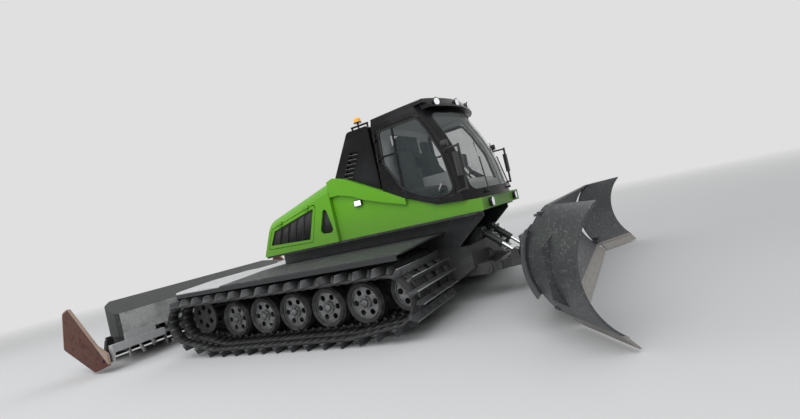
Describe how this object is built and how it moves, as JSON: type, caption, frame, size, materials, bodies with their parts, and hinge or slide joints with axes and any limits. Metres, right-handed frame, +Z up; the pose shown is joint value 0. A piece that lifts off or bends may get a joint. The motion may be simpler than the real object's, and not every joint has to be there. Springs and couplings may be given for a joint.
{
  "type": "snow groomer",
  "caption": "Tracked snow groomer with a forward cab, a curved front blade with swinging wings, and a rear tiller with rotors, combs and side flaps.",
  "frame": {"origin": "on the ground, under the middle of the whole machine with its blade and tiller", "axes": "+X forward towards the blade, +Y to the machine's left, +Z up"},
  "size_m": [8.819, 5.5428, 2.92],
  "materials": {
    "green_paint": "gloss paint with a little dirt",
    "cab_black": "gloss black",
    "dark_steel": "satin dark grey paint",
    "blade_paint": "satin dark paint, worn by snow",
    "deck_paint": "worn pale grey paint",
    "tiller_paint": "worn grey paint",
    "track_rubber": "rubber belt with metal bars",
    "tyre_rubber": "solid rubber",
    "rim_metal": "satin",
    "sprocket_plastic": "worn",
    "engine_metal": "plain block",
    "flap_rubber": "matt",
    "cab_glass": "tinted",
    "seat_cloth": "woven",
    "dash_plastic": "grained",
    "lamp_lens": "clear lens",
    "beacon_amber": "amber lens",
    "trim_black": "grained",
    "rod_chrome": "polished",
    "rotor_steel": "worn",
    "comb_plastic": "ribbed",
    "board_brown": "worn brown red"
  },
  "bodies": {
    "root": {"tub": "dark_steel", "axles": "dark_steel", "tow_eyes": "dark_steel", "deck_frame": "dark_steel", "tracks": "track_rubber", "tyres": "tyre_rubber", "rims": "rim_metal", "sprockets": "sprocket_plastic", "engine": "engine_metal", "body": "green_paint", "platform": "deck_paint", "mudflaps": "flap_rubber", "hood": "green_paint", "towers": "cab_black", "cab_shell": "cab_black", "cab_glass": "cab_glass", "roof": "cab_black", "seats": "seat_cloth", "console": "dash_plastic", "lamps": "lamp_lens", "beacon": "beacon_amber", "mirrors": "trim_black", "wipers": "trim_black"},
    "cab_door_left": {"door_left": "cab_black", "door_glass_left": "cab_glass"},
    "cab_door_right": {"door_right": "cab_black", "door_glass_right": "cab_glass"},
    "service_door_left": {"hood_door_left": "green_paint"},
    "service_door_right": {"hood_door_right": "green_paint"},
    "push_frame": {"push_frame": "dark_steel"},
    "blade_carrier": {"blade_carrier": "dark_steel"},
    "blade": {"blade": "blade_paint"},
    "wing_left": {"wing_left": "blade_paint"},
    "wing_right": {"wing_right": "blade_paint"},
    "lift_barrels": {"lift_barrels": "dark_steel"},
    "lift_rods": {"lift_rods": "rod_chrome"},
    "tiller_arm": {"tiller_arm": "dark_steel"},
    "tiller": {"tiller_cover": "tiller_paint"},
    "rotor_left": {"rotor_left": "rotor_steel"},
    "rotor_right": {"rotor_right": "rotor_steel"},
    "finisher": {"finisher": "comb_plastic"},
    "side_flap_left": {"side_flap_left": "board_brown"},
    "side_flap_right": {"side_flap_right": "board_brown"},
    "tiller_barrels": {"tiller_barrels": "dark_steel"},
    "tiller_rods": {"tiller_rods": "rod_chrome"}
  },
  "joints": [
    {"name": "cab_door_left_swing", "type": "hinge", "parent": "root", "child": "cab_door_left", "pos_m": [1.67151, 0.92714, 2.34], "axis": [0, -0.0805, 0.9968], "range_deg": [0, 85]},
    {"name": "service_door_left_swing", "type": "hinge", "parent": "root", "child": "service_door_left", "pos_m": [0.01051, 1.008, 1.7335], "axis": [0.9759, 0, 0.2183], "range_deg": [0, 75]},
    {"name": "cab_door_right_swing", "type": "hinge", "parent": "root", "child": "cab_door_right", "pos_m": [1.67151, -0.92714, 2.34], "axis": [0, -0.0805, -0.9968], "range_deg": [0, 85]},
    {"name": "service_door_right_swing", "type": "hinge", "parent": "root", "child": "service_door_right", "pos_m": [0.01051, -1.008, 1.7335], "axis": [-0.9759, 0, -0.2183], "range_deg": [0, 75]},
    {"name": "blade_lift", "type": "hinge", "parent": "root", "child": "push_frame", "pos_m": [2.68051, 0, 0.43], "axis": [0, -1, 0], "range_deg": [-8, 20]},
    {"name": "blade_angle", "type": "hinge", "parent": "push_frame", "child": "blade_carrier", "pos_m": [3.21051, 0, 0.43], "axis": [0, 0, 1], "range_deg": [-20, 20]},
    {"name": "blade_tilt", "type": "hinge", "parent": "blade_carrier", "child": "blade", "pos_m": [3.46051, 0, 0.58], "axis": [1, 0, 0], "range_deg": [-6, 6]},
    {"name": "wing_left_swing", "type": "hinge", "parent": "blade", "child": "wing_left", "pos_m": [3.86051, 1.912, 0.64], "axis": [0, 0, -1], "range_deg": [-33, 35]},
    {"name": "wing_right_swing", "type": "hinge", "parent": "blade", "child": "wing_right", "pos_m": [3.86051, -1.912, 0.64], "axis": [0, 0, 1], "range_deg": [-33, 35]},
    {"name": "lift_barrels_turn", "type": "hinge", "parent": "root", "child": "lift_barrels", "pos_m": [2.62051, 0, 0.93], "axis": [0, -1, 0], "range_deg": [-3, 7]},
    {"name": "lift_rods_slide", "type": "slide", "parent": "lift_barrels", "child": "lift_rods", "axis": [0.7504, 0, -0.661], "range_m": [-0.13, 0.055]},
    {"name": "tiller_lift", "type": "hinge", "parent": "root", "child": "tiller_arm", "pos_m": [-1.83949, 0, 0.56], "axis": [0, 1, 0], "range_deg": [-5, 30]},
    {"name": "tiller_roll", "type": "hinge", "parent": "tiller_arm", "child": "tiller", "pos_m": [-2.96949, 0, 0.56], "axis": [1, 0, 0], "range_deg": [-8, 8]},
    {"name": "rotor_left_spin", "type": "hinge", "parent": "tiller", "child": "rotor_left", "pos_m": [-3.41449, 0, 0.33], "axis": [0, 1, 0], "continuous": true},
    {"name": "rotor_right_spin", "type": "hinge", "parent": "tiller", "child": "rotor_right", "pos_m": [-3.41449, 0, 0.33], "axis": [0, 1, 0], "continuous": true},
    {"name": "finisher_swing", "type": "hinge", "parent": "tiller", "child": "finisher", "pos_m": [-3.95949, 0, 0.43], "axis": [0, 1, 0], "range_deg": [-5, 30]},
    {"name": "side_flap_left_lift", "type": "hinge", "parent": "tiller", "child": "side_flap_left", "pos_m": [-3.11949, 2.45, 0.2], "axis": [0, 1, 0], "range_deg": [-20, 20]},
    {"name": "side_flap_right_lift", "type": "hinge", "parent": "tiller", "child": "side_flap_right", "pos_m": [-3.11949, -2.45, 0.2], "axis": [0, 1, 0], "range_deg": [-20, 20]},
    {"name": "tiller_barrels_turn", "type": "hinge", "parent": "root", "child": "tiller_barrels", "pos_m": [-1.79949, 0, 0.9], "axis": [0, 1, 0], "range_deg": [-5, 28]},
    {"name": "tiller_rods_slide", "type": "slide", "parent": "tiller_barrels", "child": "tiller_rods", "axis": [-0.9603, 0, -0.279], "range_m": [-0.18, 0.035]}
  ],
  "couplings": [
    {"joint": "lift_barrels_turn", "follows": "blade_lift", "ratio": 0.3049},
    {"joint": "lift_rods_slide", "follows": "blade_lift", "m_per_rad": -0.34765},
    {"joint": "tiller_barrels_turn", "follows": "tiller_lift", "ratio": 0.9014},
    {"joint": "tiller_rods_slide", "follows": "tiller_lift", "m_per_rad": -0.33213}
  ]
}
